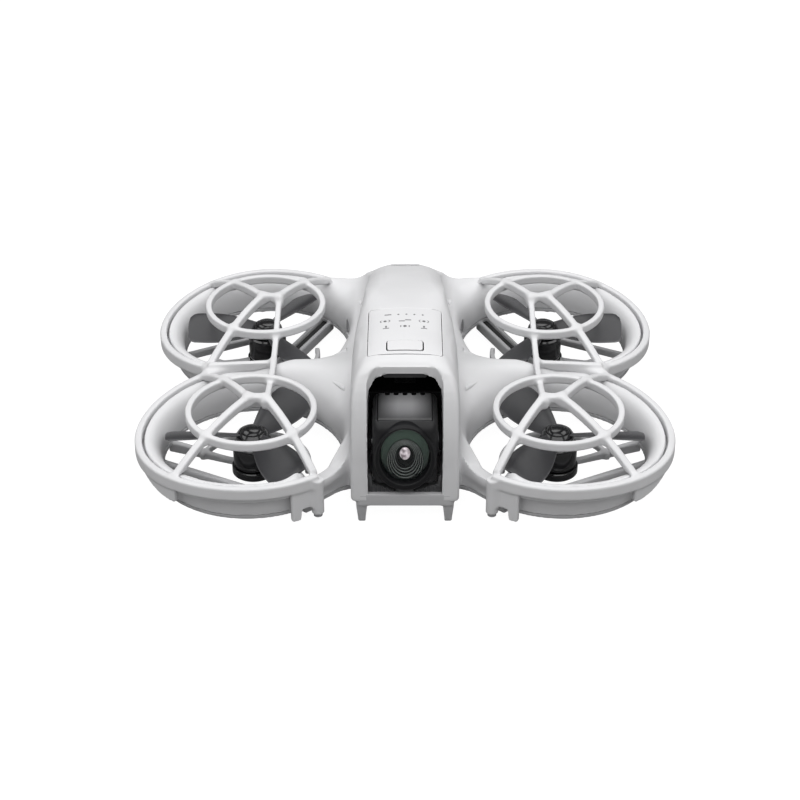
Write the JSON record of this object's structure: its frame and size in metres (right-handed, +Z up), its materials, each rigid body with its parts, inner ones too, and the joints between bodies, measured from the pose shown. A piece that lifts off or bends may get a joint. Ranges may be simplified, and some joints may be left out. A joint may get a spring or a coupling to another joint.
{
  "type": "palm camera drone with ducted rotors",
  "caption": "Palm-sized quadcopter with ducted, caged rotors, a wedge-shaped fuselage, a tilting nose camera, press buttons and a battery that slides out at the rear.",
  "frame": {"origin": "on the ground below the middle of the four rotors", "axes": "+Z up, front faces -Y, +X towards the right-hand rotors seen from behind"},
  "size_m": [0.1572, 0.1302, 0.0485],
  "materials": {
    "shell_plastic": "matte",
    "frame_plastic": "matte",
    "camera_plastic": "satin",
    "black_plastic": "matte",
    "gloss_black": "gloss",
    "prop_plastic": "satin",
    "battery_plastic": "matte",
    "screw_steel": "satin",
    "motor_steel": "satin",
    "motor_black": "gloss",
    "dark_metal": "satin",
    "copper_wire": "gloss",
    "heat_sink_metal": "satin",
    "circuit_board": "satin",
    "ceramic": "matte",
    "gold_contact": "gloss",
    "cable_film": "satin",
    "wire_rubber": "matte",
    "cell_wrap": "satin",
    "dark_glass": "gloss",
    "lens_glass": "gloss"
  },
  "bodies": {
    "airframe": {"lower_frame": "frame_plastic", "upper_shell": "shell_plastic", "guard_left": "shell_plastic", "guard_right": "shell_plastic", "guard_screws": "screw_steel", "frame_screws": "screw_steel", "main_board": "circuit_board", "board_chips": "black_plastic", "heat_sink": "heat_sink_metal", "antennas": "circuit_board", "satellite_receiver": "ceramic", "indicator_board": "circuit_board", "indicator_panel": "shell_plastic", "vision_camera": "black_plastic", "belly_window": "dark_glass", "charging_socket": "screw_steel", "battery_contacts": "gold_contact", "bay_liner": "black_plastic", "ribbon_cable": "cable_film", "motor_stators": "motor_steel", "motor_windings": "copper_wire", "motor_bearings": "motor_steel", "motor_screws": "screw_steel", "motor_wires": "wire_rubber", "gimbal_bracket": "dark_metal", "gimbal_dampers": "wire_rubber", "gimbal_stator": "copper_wire", "pivot_pin": "motor_steel"},
    "camera": {"camera_housing": "camera_plastic", "camera_cap": "camera_plastic", "lens_bezel": "black_plastic", "lens_glass": "lens_glass", "lens_barrel": "black_plastic", "image_sensor": "circuit_board", "gimbal_magnet": "motor_steel", "gimbal_bearing": "motor_steel"},
    "battery": {"battery_case": "battery_plastic", "battery_cells": "cell_wrap", "battery_terminals": "gold_contact", "battery_end_cap": "battery_plastic"},
    "latch_left": {"battery_latch_left": "battery_plastic"},
    "latch_right": {"battery_latch_right": "battery_plastic"},
    "mode_button": {"mode_button": "shell_plastic"},
    "power_button": {"power_button": "shell_plastic"},
    "rotor_front_left": {"motor_bell_front_left": "motor_black", "motor_shaft_front_left": "motor_steel", "propeller_front_left": "prop_plastic", "hub_cap_front_left": "gloss_black"},
    "rotor_front_right": {"motor_bell_front_right": "motor_black", "motor_shaft_front_right": "motor_steel", "propeller_front_right": "prop_plastic", "hub_cap_front_right": "gloss_black"},
    "rotor_rear_left": {"motor_bell_rear_left": "motor_black", "motor_shaft_rear_left": "motor_steel", "propeller_rear_left": "prop_plastic", "hub_cap_rear_left": "gloss_black"},
    "rotor_rear_right": {"motor_bell_rear_right": "motor_black", "motor_shaft_rear_right": "motor_steel", "propeller_rear_right": "prop_plastic", "hub_cap_rear_right": "gloss_black"}
  },
  "joints": [
    {"name": "spin_front_left", "type": "hinge", "parent": "airframe", "child": "rotor_front_left", "pos_m": [-0.0444, -0.031, 0.0147], "axis": [0, 0, 1], "continuous": true},
    {"name": "spin_front_right", "type": "hinge", "parent": "airframe", "child": "rotor_front_right", "pos_m": [0.0444, -0.031, 0.0147], "axis": [0, 0, 1], "continuous": true},
    {"name": "spin_rear_left", "type": "hinge", "parent": "airframe", "child": "rotor_rear_left", "pos_m": [-0.0444, 0.031, 0.0147], "axis": [0, 0, 1], "continuous": true},
    {"name": "spin_rear_right", "type": "hinge", "parent": "airframe", "child": "rotor_rear_right", "pos_m": [0.0444, 0.031, 0.0147], "axis": [0, 0, 1], "continuous": true},
    {"name": "camera_tilt", "type": "hinge", "parent": "airframe", "child": "camera", "pos_m": [0, -0.046, 0.023], "axis": [-1, 0, 0], "range_deg": [-90, 60]},
    {"name": "battery_slide", "type": "slide", "parent": "airframe", "child": "battery", "axis": [0, 1, 0], "range_m": [0, 0.068]},
    {"name": "latch_left_press", "type": "slide", "parent": "battery", "child": "latch_left", "axis": [1, 0, 0], "range_m": [0, 0.0012], "stiffness_N_per_m": 200, "springref_m": -0.0003},
    {"name": "latch_right_press", "type": "slide", "parent": "battery", "child": "latch_right", "axis": [-1, 0, 0], "range_m": [0, 0.0012], "stiffness_N_per_m": 200, "springref_m": -0.0003},
    {"name": "mode_button_press", "type": "slide", "parent": "airframe", "child": "mode_button", "axis": [0, 0, -1], "range_m": [0, 0.0004], "stiffness_N_per_m": 120, "springref_m": -0.0002},
    {"name": "power_button_press", "type": "slide", "parent": "airframe", "child": "power_button", "axis": [0, 0, -1], "range_m": [0, 0.0004], "stiffness_N_per_m": 120, "springref_m": -0.0002}
  ]
}
